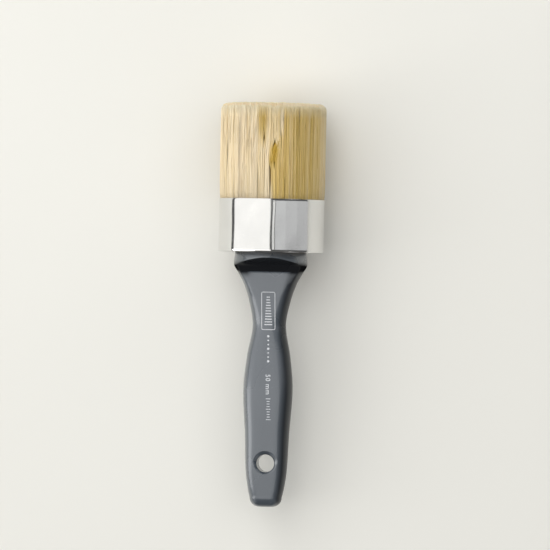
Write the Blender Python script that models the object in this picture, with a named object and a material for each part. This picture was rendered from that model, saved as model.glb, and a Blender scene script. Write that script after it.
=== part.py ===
"""Round stencil brush: a beavertail handle, a two-inch ferrule and a full, flat-cut hog-bristle tuft.

Metres, +Z up. The brush lies on its side on the plane z = 0. Its axis runs along Y, with the trimmed
tip of the tuft at +Y, the butt of the handle at -Y and y = 0 halfway along. The handle's flat faces
look up and down. "Below the ferrule" means towards the butt, and a depth is measured that way from the
ferrule's lower rim.
"""

import math

import bmesh
import bpy

# driving dimensions
FERRULE_D = 0.0508
FERRULE_LENGTH = 0.0254
TUFT_LENGTH = 0.0460
HANDLE_LENGTH = 0.1226
WALL = 0.0005
GAP = 0.0003
SIDES = 48

# tuft
TUFT_R = 0.0249
TUFT_EDGE_R = 0.0035
CORE_R = 0.0083
INNER_RING = (CORE_R + GAP, 0.0166)
OUTER_RING = (INNER_RING[1] + GAP, TUFT_R)
INNER_LOCKS = 6
OUTER_LOCKS = 12
LOCK_STEP = math.radians(7.5)

# what the ferrule holds, from its lower rim upwards
PLUG_RECESS = 0.0009
PLUG_THICKNESS = 0.0100
SETTING_THICKNESS = 0.0072

# handle
COLLAR_R = 0.0176
TENON_R = 0.0100
TENON_CHAMFER = 0.0006
SHOULDER_DEPTH = -0.0006
COVE_TOP = 0.0027
COVE_END = 0.0096
GRIP_START = 0.0260
BUTT_ROUND = 0.0045
HANDLE_SIDES = 40
COVE_CRISPNESS = 26.0
GRIP_CRISPNESS = 9.0
# (depth, half width) where the outline turns: collar, sweep, neck, belly and tail
HALF_WIDTHS = (
    (0.0, 0.01715),
    (0.0039, 0.0176),
    (0.0067, 0.0175),
    (0.0096, 0.0158),
    (0.0154, 0.01275),
    (0.0241, 0.0099),
    (0.0356, 0.00805),
    (0.0500, 0.01045),
    (0.0660, 0.0119),
    (0.0876, 0.0107),
    (0.1050, 0.00995),
    (0.1136, 0.0088),
    (0.1181, 0.0078),
)
# (depth, half thickness) of the scooped shoulder, from the round collar down to the planed flats
COVE_HALVES = (
    (COVE_TOP, COLLAR_R),
    (0.0032, 0.0169),
    (0.0041, 0.0149),
    (0.0052, 0.0117),
    (0.0063, 0.0096),
    (0.0075, 0.0084),
    (COVE_END, 0.0072),
)
# (depth, half thickness) of the flats: shoulder, neck, belly and tail
HALF_THICKNESSES = (
    (COVE_END, 0.0072),
    (0.0356, 0.0069),
    (0.0660, 0.0081),
    (0.0950, 0.0071),
    (0.1181, 0.0058),
)

# hanging hole
HOLE_DEPTH = 0.1016
HOLE_R = 0.0043
HOLE_RIM_R = 0.0058
HOLE_EASE = 0.0011
HOLE_SIDES = 24

# brads that pin the ferrule to the plug, on the underside
BRAD_ANGLES = (math.radians(230), math.radians(310))
BRAD_DEPTH = -0.0058
BRAD_SHANK_R = 0.0007
BRAD_HOLE_R = 0.0010
BRAD_HEAD_R = 0.0019
BRAD_HEAD_H = 0.0008
BRAD_LENGTH = 0.0080
BRAD_SIDES = 12

TOTAL = HANDLE_LENGTH + FERRULE_LENGTH + TUFT_LENGTH
TIP_Y = TOTAL / 2
MOUTH_Y = TIP_Y - TUFT_LENGTH
RIM_Y = MOUTH_Y - FERRULE_LENGTH
AXIS_Z = FERRULE_D / 2

LACQUER = ("charcoal_lacquer", (0.085, 0.088, 0.095), 0.22, 0.0)
NICKEL = ("nickel_plate", (0.78, 0.77, 0.74), 0.14, 1.0)
WOOD = ("bare_wood", (0.60, 0.45, 0.29), 0.65, 0.0)
EPOXY = ("amber_epoxy", (0.46, 0.29, 0.12), 0.30, 0.0)
STEEL = ("brad_steel", (0.62, 0.61, 0.58), 0.30, 1.0)
BRISTLE = ("hog_bristle", (0.80, 0.69, 0.47), 0.70, 0.0)


def clear_scene():
    for obj in list(bpy.data.objects):
        bpy.data.objects.remove(obj, do_unlink=True)


def principled(name, look):
    """A node's own material, named after the finish and the node."""
    finish, colour, roughness, metallic = look
    material = bpy.data.materials.new(f"{finish}_{name}")
    material.use_nodes = True
    shader = material.node_tree.nodes["Principled BSDF"]
    shader.inputs["Base Color"].default_value = (*colour, 1.0)
    shader.inputs["Roughness"].default_value = roughness
    shader.inputs["Metallic"].default_value = metallic
    return material


def on_axis(radius, angle, y):
    """The point at a radius and an angle round the brush's axis."""
    return (radius * math.cos(angle), y, AXIS_Z + radius * math.sin(angle))


def finish_mesh(name, bm, look, sharp_deg=35):
    bmesh.ops.remove_doubles(bm, verts=bm.verts, dist=1e-7)
    bmesh.ops.recalc_face_normals(bm, faces=bm.faces)
    mesh = bpy.data.meshes.new(name)
    bm.to_mesh(mesh)
    bm.free()
    mesh.shade_smooth()
    mesh.set_sharp_from_angle(angle=math.radians(sharp_deg))
    obj = bpy.data.objects.new(name, mesh)
    bpy.context.collection.objects.link(obj)
    obj.data.materials.append(principled(name, look))
    return obj


def lofted(name, rings, look, wraps=False):
    """A closed solid through rings of equal point count: capped at both ends, or joined end to start."""
    bm = bmesh.new()
    rows = [[bm.verts.new(point) for point in ring] for ring in rings]
    pairs = list(zip(rows, rows[1:]))
    if wraps:
        pairs.append((rows[-1], rows[0]))
    for low, high in pairs:
        for i in range(len(low)):
            j = (i + 1) % len(low)
            bm.faces.new((low[i], low[j], high[j], high[i]))
    if not wraps:
        bm.faces.new(list(reversed(rows[0])))
        bm.faces.new(rows[-1])
    return finish_mesh(name, bm, look)


def turned(name, outline, look, wraps=False):
    """A round solid about the brush's axis; outline is (apothem, y), so its flats touch that radius."""
    flare = 1 / math.cos(math.pi / SIDES)
    angles = [2 * math.pi * (k + 0.5) / SIDES for k in range(SIDES)]
    rings = [[on_axis(radius * flare, a, y) for a in angles] for radius, y in outline]
    return lofted(name, rings, look, wraps)


def cut(obj, cutter):
    boolean = obj.modifiers.new(f"cut_{cutter.name}", "BOOLEAN")
    boolean.operation = "DIFFERENCE"
    boolean.solver = "EXACT"
    boolean.object = cutter
    cutter.hide_render = True
    cutter.display_type = "WIRE"


def own_origin(obj, origin):
    """Moves an object's origin to a point without moving its surface."""
    for vertex in obj.data.vertices:
        vertex.co = [a - b for a, b in zip(vertex.co, origin)]
    obj.location = origin


def along(points, x):
    """A smooth curve through (x, value) points, read at x; its slope at a point is its neighbours'."""
    last = len(points) - 1
    i = max(k for k in range(last) if k == 0 or points[k][0] <= x)

    def slope(k):
        (x0, v0), (x1, v1) = points[max(k - 1, 0)], points[min(k + 1, last)]
        return (v1 - v0) / (x1 - x0)

    (x0, v0), (x1, v1) = points[i], points[i + 1]
    span = x1 - x0
    t = (x - x0) / span
    start = (2 * t**3 - 3 * t**2 + 1) * v0 + (t**3 - 2 * t**2 + t) * span * slope(i)
    end = (3 * t**2 - 2 * t**3) * v1 + (t**3 - t**2) * span * slope(i + 1)
    return start + end


def slab(half, circle, crispness):
    """The slab that, softly joined with a circle, leaves exactly half at its middle."""
    left = half**-crispness - circle**-crispness
    return math.inf if left <= 0 else left ** (-1 / crispness)


def handle_ring(depth, half_width, half_thickness, crispness):
    """A turned circle with its top and bottom planed flat, the edges softer as crispness falls."""
    circle = max(half_width, half_thickness) * 1.0001
    wide = slab(half_width, circle, crispness)
    thick = slab(half_thickness, circle, crispness)
    ring = []
    for k in range(HANDLE_SIDES):
        angle = 2 * math.pi * k / HANDLE_SIDES
        inverse = (
            (abs(math.cos(angle)) / wide) ** crispness
            + (abs(math.sin(angle)) / thick) ** crispness
            + circle**-crispness
        )
        ring.append(on_axis(inverse ** (-1 / crispness), angle, RIM_Y - depth))
    return ring


def handle_rings():
    def tenon(radius, depth):
        return handle_ring(depth, radius, radius, COVE_CRISPNESS)

    socket_end = -(PLUG_RECESS + PLUG_THICKNESS)
    rings = [
        tenon(TENON_R - TENON_CHAMFER, socket_end),
        tenon(TENON_R, socket_end + TENON_CHAMFER),
        tenon(TENON_R, SHOULDER_DEPTH),
        tenon(COLLAR_R - 2 * TENON_CHAMFER, SHOULDER_DEPTH),
    ]
    for depth in (0.0, COVE_TOP / 2, COVE_TOP):
        rings.append(tenon(along(HALF_WIDTHS, depth), depth))
    for depth, half_thickness in COVE_HALVES[1:]:
        half_width = along(HALF_WIDTHS, depth)
        rings.append(handle_ring(depth, half_width, min(half_thickness, half_width), COVE_CRISPNESS))
    tail = HALF_WIDTHS[-1][0]
    steps = 30
    for k in range(1, steps + 1):
        depth = COVE_END + (tail - COVE_END) * k / steps
        soften = min(1.0, (depth - COVE_END) / (GRIP_START - COVE_END))
        crispness = COVE_CRISPNESS + (GRIP_CRISPNESS - COVE_CRISPNESS) * math.sqrt(soften)
        rings.append(
            handle_ring(depth, along(HALF_WIDTHS, depth), along(HALF_THICKNESSES, depth), crispness)
        )
    half_width, half_thickness = HALF_WIDTHS[-1][1], HALF_THICKNESSES[-1][1]
    steps = 5
    for k in range(1, steps + 1):
        turn = math.pi / 2 * k / steps
        inset = BUTT_ROUND * (1 - math.cos(turn))
        thin = half_thickness - inset * half_thickness / half_width
        depth = tail + BUTT_ROUND * math.sin(turn)
        rings.append(handle_ring(depth, half_width - inset, thin, GRIP_CRISPNESS))
    return rings


def make_handle():
    handle = lofted("handle", handle_rings(), LACQUER)
    surface = along(HALF_THICKNESSES, HOLE_DEPTH)
    heights = (
        (-surface - 2 * HOLE_EASE, HOLE_RIM_R + 2 * HOLE_EASE),
        (-surface, HOLE_RIM_R),
        (-surface + HOLE_EASE, HOLE_R),
        (surface - HOLE_EASE, HOLE_R),
        (surface, HOLE_RIM_R),
        (surface + 2 * HOLE_EASE, HOLE_RIM_R + 2 * HOLE_EASE),
    )
    turns = [2 * math.pi * k / HOLE_SIDES for k in range(HOLE_SIDES)]
    centre_y = RIM_Y - HOLE_DEPTH
    rings = [
        [(r * math.cos(a), centre_y + r * math.sin(a), AXIS_Z + h) for a in turns] for h, r in heights
    ]
    cut(handle, lofted("hanging_hole_cutter", rings, LACQUER))


def brad_rings(angle, outline):
    """Rings of an outline of (distance from the axis, radius) turned about a brad's own axis."""
    y = RIM_Y - BRAD_DEPTH
    rings = []
    for distance, radius in outline:
        ring = []
        for k in range(BRAD_SIDES):
            turn = 2 * math.pi * k / BRAD_SIDES
            sideways = radius * math.cos(turn)
            x, _, z = on_axis(distance, angle, y)
            ring.append(
                (x - sideways * math.sin(angle), y + radius * math.sin(turn), z + sideways * math.cos(angle))
            )
        rings.append(ring)
    return rings


def make_brads():
    """Dome-headed brads, and the cutters for their holes."""
    seat = FERRULE_D / 2 + GAP
    cutters = []
    for number, angle in enumerate(BRAD_ANGLES, 1):
        outline = (
            (seat - BRAD_LENGTH, BRAD_SHANK_R * 0.25),
            (seat - BRAD_LENGTH + 0.0012, BRAD_SHANK_R),
            (seat, BRAD_SHANK_R),
            (seat, BRAD_HEAD_R),
            (seat + BRAD_HEAD_H * 0.45, BRAD_HEAD_R * 0.9),
            (seat + BRAD_HEAD_H * 0.85, BRAD_HEAD_R * 0.55),
            (seat + BRAD_HEAD_H, BRAD_HEAD_R * 0.2),
        )
        lofted(f"ferrule_brad_{number}", brad_rings(angle, outline), STEEL)
        hole = ((seat - BRAD_LENGTH - GAP, BRAD_HOLE_R), (seat + BRAD_HEAD_H, BRAD_HOLE_R))
        cutters.append(lofted(f"brad_hole_cutter_{number}", brad_rings(angle, hole), STEEL))
    return cutters


def make_ferrule(brad_cutters):
    """The plated sleeve, its two rims eased, and the round plug that the handle's tenon goes into."""
    outer = FERRULE_D / 2
    inner = outer - WALL
    ease = WALL * 0.4
    sleeve = (
        (outer - ease, RIM_Y),
        (outer, RIM_Y + ease),
        (outer, MOUTH_Y - ease),
        (outer - ease, MOUTH_Y),
        (inner, MOUTH_Y),
        (inner, RIM_Y),
    )
    ferrule = turned("ferrule", sleeve, NICKEL, wraps=True)
    low = RIM_Y + PLUG_RECESS
    high = low + PLUG_THICKNESS
    socket = TENON_R + GAP
    ring = ((inner - GAP, low), (inner - GAP, high), (socket, high), (socket, low))
    plug = turned("base_plug", ring, WOOD, wraps=True)
    for cutter in brad_cutters:
        cut(ferrule, cutter)
        cut(plug, cutter)


def make_setting():
    """The epoxy that holds the bristle roots, and the roots' dry part below the ferrule's mouth."""
    radius = FERRULE_D / 2 - WALL - GAP
    low = RIM_Y + PLUG_RECESS + PLUG_THICKNESS + GAP
    high = low + SETTING_THICKNESS
    turned("epoxy_setting", ((radius, low), (radius, high)), EPOXY)
    turned("bristle_roots", ((radius, high + GAP), (radius, MOUTH_Y)), BRISTLE)


def lock_outline(ring, rounded):
    """A lock's section as (radius, y), its trimmed end eased where it is the tuft's own edge."""
    inner, outer = ring
    low = MOUTH_Y + GAP
    outline = [(inner, low), (outer, low)]
    if not rounded:
        return outline + [(outer, TIP_Y), (inner, TIP_Y)]
    for k in range(4):
        turn = math.pi / 2 * k / 3
        radius = outer - TUFT_EDGE_R * (1 - math.cos(turn))
        outline.append((radius, TIP_Y - TUFT_EDGE_R * (1 - math.sin(turn))))
    return outline + [(inner, TIP_Y)]


def make_locks(name, count, ring, rounded=False):
    """A ring of bristle locks. Each lock's origin is on its bending axis, at its root's outer edge."""
    width = 2 * math.pi / count
    steps = round(width / LOCK_STEP)
    parting = GAP / 2
    for number in range(count):
        middle = (number + 0.5) * width
        rings = []
        for k in range(steps + 1):
            section = []
            for radius, y in lock_outline(ring, rounded):
                trim = parting / radius
                angle = middle - width / 2 + trim + (width - 2 * trim) * k / steps
                section.append(on_axis(radius, angle, y))
            rings.append(section)
        lock = lofted(f"{name}_{number + 1:02d}", rings, BRISTLE)
        own_origin(lock, on_axis(ring[1], middle, MOUTH_Y + GAP))


def make_tuft():
    turned("bristle_core", ((CORE_R, MOUTH_Y + GAP), (CORE_R, TIP_Y)), BRISTLE)
    make_locks("inner_lock", INNER_LOCKS, INNER_RING)
    make_locks("outer_lock", OUTER_LOCKS, OUTER_RING, rounded=True)


def main():
    clear_scene()
    make_handle()
    make_ferrule(make_brads())
    make_setting()
    make_tuft()


main()
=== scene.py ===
"""Looks of the round stencil brush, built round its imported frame.

Metres, in the row frame: +Y runs along the brush to the tip of its tuft, +Z is up, and the brush lies
on z = 0 with the handle's printed flat upwards. A depth is measured from the ferrule's lower rim
towards the butt of the handle, and a height from the ferrule's mouth towards the tip.
"""

import math

import bmesh
import bpy
import numpy as np
from mathutils import Matrix, Vector


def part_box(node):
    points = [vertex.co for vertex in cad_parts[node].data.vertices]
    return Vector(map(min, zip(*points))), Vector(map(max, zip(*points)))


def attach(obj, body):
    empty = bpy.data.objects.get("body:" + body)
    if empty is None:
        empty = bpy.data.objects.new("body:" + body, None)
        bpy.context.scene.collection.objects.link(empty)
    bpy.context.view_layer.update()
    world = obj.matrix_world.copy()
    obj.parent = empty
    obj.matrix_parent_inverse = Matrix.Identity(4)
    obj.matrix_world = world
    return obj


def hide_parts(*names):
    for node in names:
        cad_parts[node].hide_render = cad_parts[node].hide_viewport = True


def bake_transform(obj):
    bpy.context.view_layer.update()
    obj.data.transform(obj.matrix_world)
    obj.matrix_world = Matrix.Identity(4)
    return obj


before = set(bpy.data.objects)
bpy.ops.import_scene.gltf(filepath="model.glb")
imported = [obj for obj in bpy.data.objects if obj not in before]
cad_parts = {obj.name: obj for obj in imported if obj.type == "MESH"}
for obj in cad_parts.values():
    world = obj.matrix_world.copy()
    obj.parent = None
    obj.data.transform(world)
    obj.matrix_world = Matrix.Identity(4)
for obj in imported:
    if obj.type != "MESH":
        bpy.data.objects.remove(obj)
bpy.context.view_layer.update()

MM = 0.001
BODY = "brush_body"
INNER_LOCKS, OUTER_LOCKS = 6, 12

# places that the frame gives
ferrule_low, ferrule_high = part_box("ferrule")
core_low, core_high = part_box("bristle_core")
handle_low, handle_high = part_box("handle")
RIM_Y, MOUTH_Y = ferrule_low.y, ferrule_high.y
FERRULE_R = (ferrule_high.z - ferrule_low.z) / 2
AXIS_Z = ferrule_low.z + FERRULE_R
TIP_Y, CORE_R = core_high.y, (core_high.z - core_low.z) / 2
HANDLE_TOP, COLLAR_R = handle_high.y, (handle_high.z - handle_low.z) / 2
PLUG_LOW, PLUG_HIGH = (corner.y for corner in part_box("base_plug"))
TUFT_HEIGHT = TIP_Y - MOUTH_Y


# ---- meshes


def on_axis(radius, angle, y):
    """The point at a radius and an angle round the axis."""
    return (radius * math.cos(angle), y, AXIS_Z + radius * math.sin(angle))


def around(sides):
    """Even angles round a full turn."""
    return [2 * math.pi * k / sides for k in range(sides)]


def new_object(name, data):
    obj = bpy.data.objects.new(name, data)
    bpy.context.scene.collection.objects.link(obj)
    return obj


def mesh_object(name, points, faces, sharp_deg=40):
    mesh = bpy.data.meshes.new(name)
    mesh.from_pydata([tuple(p) for p in points], [], faces)
    mesh.validate()
    mesh.shade_smooth()
    if sharp_deg:
        mesh.set_sharp_from_angle(angle=math.radians(sharp_deg))
    return new_object(name, mesh)


def loft(name, rings, wraps=False, sharp_deg=40):
    """A closed skin through rings of equal point count: capped, or joined end to start."""
    count = len(rings[0])
    points = [p for ring in rings for p in ring]
    faces = []
    spans = len(rings) if wraps else len(rings) - 1
    for a in range(spans):
        b = (a + 1) % len(rings)
        for i in range(count):
            j = (i + 1) % count
            faces.append((a * count + i, a * count + j, b * count + j, b * count + i))
    if not wraps:
        faces.append(tuple(reversed(range(count))))
        faces.append(tuple(range((len(rings) - 1) * count, len(rings) * count)))
    return outward(mesh_object(name, points, faces, sharp_deg))


def skin_faces(rows, count):
    """Quads between rows of points that close on themselves, with a cap on the first and last row."""
    faces = []
    for a in range(rows - 1):
        for i in range(count):
            j = (i + 1) % count
            faces.append((a * count + i, (a + 1) * count + i, (a + 1) * count + j, a * count + j))
    faces.append(tuple(range(count)))
    faces.append(tuple(reversed(range((rows - 1) * count, rows * count))))
    return faces


def outward(obj):
    """Turns a closed mesh's faces outwards."""
    mesh = obj.data
    volume = 0.0
    for face in mesh.polygons:
        corners = [mesh.vertices[i].co for i in face.vertices]
        for b, c in zip(corners[1:], corners[2:]):
            volume += corners[0].dot(b.cross(c))
    if volume < 0:
        mesh.flip_normals()
    return obj


def evaluated_mesh(obj):
    graph = bpy.context.evaluated_depsgraph_get()
    return bpy.data.meshes.new_from_object(obj.evaluated_get(graph))


def turned(name, outline, sides=160, wraps=False):
    """A round solid about the brush's axis; outline is a row of (radius, y)."""
    return loft(name, [[on_axis(r, a, y) for a in around(sides)] for r, y in outline], wraps)


def paint(mesh, layer_name, colours):
    """Stores a colour, without its alpha, for each point of a mesh."""
    rgba = np.ones((len(mesh.vertices), 4), np.float32)
    rgba[:, :3] = colours
    layer = mesh.color_attributes.new(layer_name, "FLOAT_COLOR", "POINT")
    layer.data.foreach_set("color", rgba.ravel())


def dressed(obj, material, stands_for=()):
    """Gives a finished piece its material, the brush's body and the CAD nodes that it stands for."""
    obj.data.materials.clear()
    obj.data.materials.append(material)
    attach(obj, BODY)
    if stands_for:
        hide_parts(*stands_for)
    return obj


def smoothstep(x):
    x = np.clip(x, 0.0, 1.0)
    return x * x * (3 - 2 * x)


# ---- node materials


class Nodes:
    """A material's node tree with short calls for the nodes used here."""

    def __init__(self, name):
        self.material = bpy.data.materials.new(name)
        self.material.use_nodes = True
        self.tree = self.material.node_tree
        self.shader = self.tree.nodes["Principled BSDF"]
        self.place = self.add("TexCoord").outputs["Object"]

    def add(self, kind, **settings):
        node = self.tree.nodes.new("ShaderNode" + kind)
        for key, value in settings.items():
            setattr(node, key, value)
        return node

    def link(self, source, target):
        """Feeds an input from an output, a colour of three numbers or a plain value."""
        if hasattr(source, "is_output"):
            self.tree.links.new(source, target)
        else:
            target.default_value = (*source, 1.0) if isinstance(source, tuple) else source

    def feed(self, node, **inputs):
        for key, value in inputs.items():
            self.link(value, node.inputs[key.replace("_", " ")])
        return node

    def stretched(self, x, y, z):
        node = self.add("Mapping")
        return self.feed(node, Vector=self.place, Scale=Vector((x, y, z))).outputs["Vector"]

    def noise(self, scale, detail=3.0, rough=0.5, where=None):
        node = self.add("TexNoise")
        self.feed(node, Vector=where or self.place, Scale=scale, Detail=detail, Roughness=rough)
        return node.outputs["Fac"]

    def ramp(self, source, stops):
        """A value read off between two (place, grey) stops."""
        node = self.feed(self.add("ValToRGB"), Fac=source)
        for element, (at, grey) in zip(node.color_ramp.elements, stops):
            element.position = at
            element.color = (grey, grey, grey, 1.0)
        return node.outputs["Color"]

    def span(self, source, low, high, from_low=0.0, from_high=1.0):
        node = self.add("MapRange")
        self.feed(node, Value=source, From_Min=from_low, From_Max=from_high, To_Min=low, To_Max=high)
        return node.outputs["Result"]

    def mix(self, factor, a, b, blend="MIX"):
        node = self.add("Mix", data_type="RGBA", blend_type=blend)
        for value, socket in ((factor, "Factor"), (a, 6), (b, 7)):
            self.link(value, node.inputs[socket])
        return node.outputs[2]

    def math(self, operation, a, b):
        node = self.add("Math", operation=operation)
        self.link(a, node.inputs[0])
        self.link(b, node.inputs[1])
        return node.outputs["Value"]

    def bump(self, height, strength, distance, under=None):
        node = self.feed(self.add("Bump"), Strength=strength, Distance=distance, Height=height)
        if under:
            self.link(under, node.inputs["Normal"])
        return node.outputs["Normal"]

    def set(self, **values):
        self.feed(self.shader, **values)


def lacquer():
    """Charcoal lacquer over wood: faint grain along the handle, soft orange peel, small rubbed marks, and
    painted shade, near black and less glossy, in the scoop under the collar and along the right-hand edge.
    """
    n = Nodes("charcoal_lacquer")
    grain = n.noise(60, 5, 0.6, n.stretched(6.0, 0.35, 6.0))
    cloud = n.noise(35, 2)
    tone = n.mix(grain, (0.040, 0.052, 0.066), (0.054, 0.067, 0.082))
    tone = n.mix(n.ramp(cloud, ((0.35, 0.0), (0.75, 0.35))), tone, (0.062, 0.074, 0.088))
    specks = n.ramp(n.noise(900, 2), ((0.70, 0.0), (0.76, 1.0)))
    tone = n.mix(n.math("MULTIPLY", specks, 0.08), tone, (0.42, 0.42, 0.43))
    # Painted shade: where this mask is set, the lacquer's colour goes nearly black and its gloss fades.
    shade_mask = n.add("VertexColor", layer_name="painted_shade").outputs["Color"]
    tone = n.mix(shade_mask, tone, (0.008, 0.008, 0.009))
    peel = n.bump(n.noise(420, 2), 0.10, 0.0002)
    pores = n.bump(n.noise(300, 3, 0.6, n.stretched(5.0, 0.22, 5.0)), 0.12, 0.0002, peel)
    gloss = n.span(shade_mask, 0.5, 0.0)
    n.set(Base_Color=tone, Roughness=n.span(cloud, 0.24, 0.32), IOR=2.05, Normal=pores)
    n.set(Specular_Tint=(0.93, 0.96, 1.0), Specular_IOR_Level=gloss)
    n.set(Coat_Weight=gloss, Coat_Roughness=0.10, Coat_IOR=1.5)
    return n.material


def nickel():
    """Bright plated steel with fine marks round the sleeve and a few long scratches."""
    n = Nodes("nickel_plate")
    fine = n.noise(700, 3, 0.6, n.stretched(1.0, 9.0, 1.0))
    haze = n.noise(90, 3)
    tone = n.mix(haze, (0.70, 0.70, 0.685), (0.80, 0.795, 0.78))
    rough = n.math("ADD", n.span(haze, 0.03, 0.09, 0.3, 0.7), n.span(fine, 0.0, 0.03))
    scratch = n.ramp(n.noise(240, 2, 0.5, n.stretched(1.0, 14.0, 1.0)), ((0.66, 0.0), (0.70, 1.0)))
    rough = n.math("ADD", rough, n.math("MULTIPLY", scratch, 0.08))
    n.set(Base_Color=tone, Metallic=1.0, Roughness=rough, Normal=n.bump(fine, 0.03, 0.0001))
    return n.material


def bristle():
    """Natural bristle: each hair's tint, which carries painted shade too, with bands along it and a slightly
    waxy surface.
    """
    n = Nodes("hog_bristle")
    tint = n.add("VertexColor", layer_name="tint").outputs["Color"]
    bands = n.noise(260, 3, 0.6, n.stretched(3.0, 0.25, 3.0))
    tone = n.mix(n.span(bands, 0.0, 0.30, 0.45, 0.8), tint, (0.72, 0.58, 0.36), "MULTIPLY")
    grey = n.feed(n.add("RGBToBW"), Color=tint)
    shine = n.span(grey.outputs["Val"], 0.0, 0.42, 0.12, 0.5)
    n.set(Base_Color=tone, Roughness=n.span(bands, 0.38, 0.58), IOR=1.5, Specular_IOR_Level=shine)
    return n.material


def bare_wood():
    n = Nodes("bare_wood")
    rings = n.add("TexWave", wave_type="RINGS", rings_direction="Z")
    n.feed(rings, Vector=n.stretched(1.0, 0.25, 1.0), Scale=160.0)
    n.feed(rings, Distortion=5.0, Detail=3.0, Detail_Scale=1.5)
    fibre = n.noise(500, 4, 0.6, n.stretched(1.0, 0.1, 1.0))
    tone = n.mix(rings.outputs["Fac"], (0.50, 0.35, 0.20), (0.66, 0.50, 0.32))
    tone = n.mix(n.span(fibre, 0.0, 0.5), tone, (0.36, 0.24, 0.13))
    n.set(Base_Color=tone, Roughness=0.62, Normal=n.bump(fibre, 0.3, 0.0002))
    return n.material


def epoxy():
    n = Nodes("amber_epoxy")
    cloud = n.noise(160, 4)
    n.set(Base_Color=n.mix(cloud, (0.38, 0.22, 0.08), (0.52, 0.34, 0.15)), Roughness=n.span(cloud, 0.2, 0.4))
    return n.material


def brad_steel():
    n = Nodes("brad_steel")
    spots = n.noise(1500, 3)
    n.set(Base_Color=n.mix(spots, (0.50, 0.49, 0.47), (0.66, 0.65, 0.62)), Metallic=1.0)
    n.set(Roughness=n.span(spots, 0.22, 0.42), Normal=n.bump(spots, 0.15, 0.0001))
    return n.material


def ink():
    """White pad-printed ink with the thin spots that a pad leaves."""
    n = Nodes("print_ink")
    thin = n.ramp(n.noise(1800, 3), ((0.50, 0.0), (0.78, 1.0)))
    n.set(Base_Color=n.mix(thin, (0.66, 0.68, 0.71), (0.34, 0.35, 0.37)), Roughness=0.45)
    return n.material


def paper_floor():
    n = Nodes("studio_floor")
    cloud = n.noise(5, 2)
    n.set(Base_Color=n.mix(cloud, (0.79, 0.785, 0.74), (0.82, 0.815, 0.77)), Roughness=0.6)
    n.set(Specular_IOR_Level=0.25)
    return n.material


# ---- handle

COVE_TOP, COVE_END = 2.7 * MM, 9.6 * MM
GRIP_START = 22.0 * MM
BUTT_ROUND = 4.5 * MM
COVE_CRISPNESS, GRIP_CRISPNESS = 60.0, 13.0
SIDE_POINTS, FLAT_POINTS = 14, 10
TENON_R = 10.0 * MM
SHOULDER_DEPTH = -0.6 * MM
# (depth, half width) in millimetres: collar, sweep, neck, belly and tail
HALF_WIDTHS = (
    (0.0, 17.15), (3.9, 17.6), (6.7, 17.5), (9.6, 15.8), (15.4, 12.75), (24.1, 9.9), (35.6, 8.05),
    (50.0, 10.45), (66.0, 11.9), (87.6, 10.7), (105.0, 9.95), (113.6, 8.8), (118.1, 7.8),
)
TAIL = HALF_WIDTHS[-1][0] * MM
# (depth, half thickness) in millimetres: the scoop under the collar, down to the planed flat
COVE_HALVES = (
    (2.7, 17.6), (3.2, 16.9), (4.1, 14.9), (5.2, 11.7), (6.3, 9.6), (7.5, 8.4), (8.6, 7.7), (9.6, 7.2),
)
# (depth, half thickness) in millimetres: shoulder, neck, belly and tail
HALF_THICKNESSES = ((9.6, 7.2), (35.6, 6.9), (66.0, 8.1), (95.0, 7.1), (118.1, 5.8))
HOLE_DEPTH = 101.6 * MM
HOLE_R, HOLE_RIM_R, HOLE_EASE = 4.3 * MM, 5.9 * MM, 1.1 * MM
STEEPEST_EDGE = math.radians(84)
CUT_SHARP_DEG = 27
# How far painted shade darkens the lacquer nearly to black and dulls its gloss, in the scoop and along the
# right-hand edge, from 0 to 1
SCOOP_PAINTED_SHADE, EDGE_PAINTED_SHADE = 0.93, 0.8


def along(points, x):
    """A smooth curve through (x, value) points in millimetres, read at x in metres."""
    x = x / MM
    last = len(points) - 1
    i = max(k for k in range(last) if k == 0 or points[k][0] <= x)

    def slope(k):
        (x0, v0), (x1, v1) = points[max(k - 1, 0)], points[min(k + 1, last)]
        return (v1 - v0) / (x1 - x0)

    (x0, v0), (x1, v1) = points[i], points[i + 1]
    span = x1 - x0
    t = (x - x0) / span
    start = (2 * t**3 - 3 * t**2 + 1) * v0 + (t**3 - 2 * t**2 + t) * span * slope(i)
    end = (3 * t**2 - 2 * t**3) * v1 + (t**3 - t**2) * span * slope(i + 1)
    return (start + end) * MM


def slab(half, circle, crispness):
    """The slab that, softly joined with a circle, leaves exactly half at its middle."""
    left = (half / circle) ** -crispness - 1
    return math.inf if left <= 1e-9 else circle * left ** (-1 / crispness)


def section_radius(angle, half_width, half_thickness, crispness):
    """A turned circle with its top and bottom planed flat, the edges softer as crispness falls."""
    circle = max(half_width, half_thickness) * 1.0001
    wide = slab(half_width, circle, crispness)
    thick = slab(half_thickness, circle, crispness)
    inverse = (
        (circle * abs(math.cos(angle)) / wide) ** crispness
        + (circle * abs(math.sin(angle)) / thick) ** crispness
        + 1
    )
    return circle * inverse ** (-1 / crispness)


def handle_section(depth):
    """Half width, half thickness and crispness of the handle at a depth below the ferrule."""
    half_width = along(HALF_WIDTHS, min(depth, TAIL))
    if depth <= COVE_TOP:
        return half_width, half_width, COVE_CRISPNESS
    if depth < COVE_END:
        return half_width, min(along(COVE_HALVES, depth), half_width), COVE_CRISPNESS
    soften = min(1.0, (depth - COVE_END) / (GRIP_START - COVE_END))
    crispness = COVE_CRISPNESS + (GRIP_CRISPNESS - COVE_CRISPNESS) * soften**0.35
    return half_width, along(HALF_THICKNESSES, min(depth, TAIL)), crispness


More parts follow.
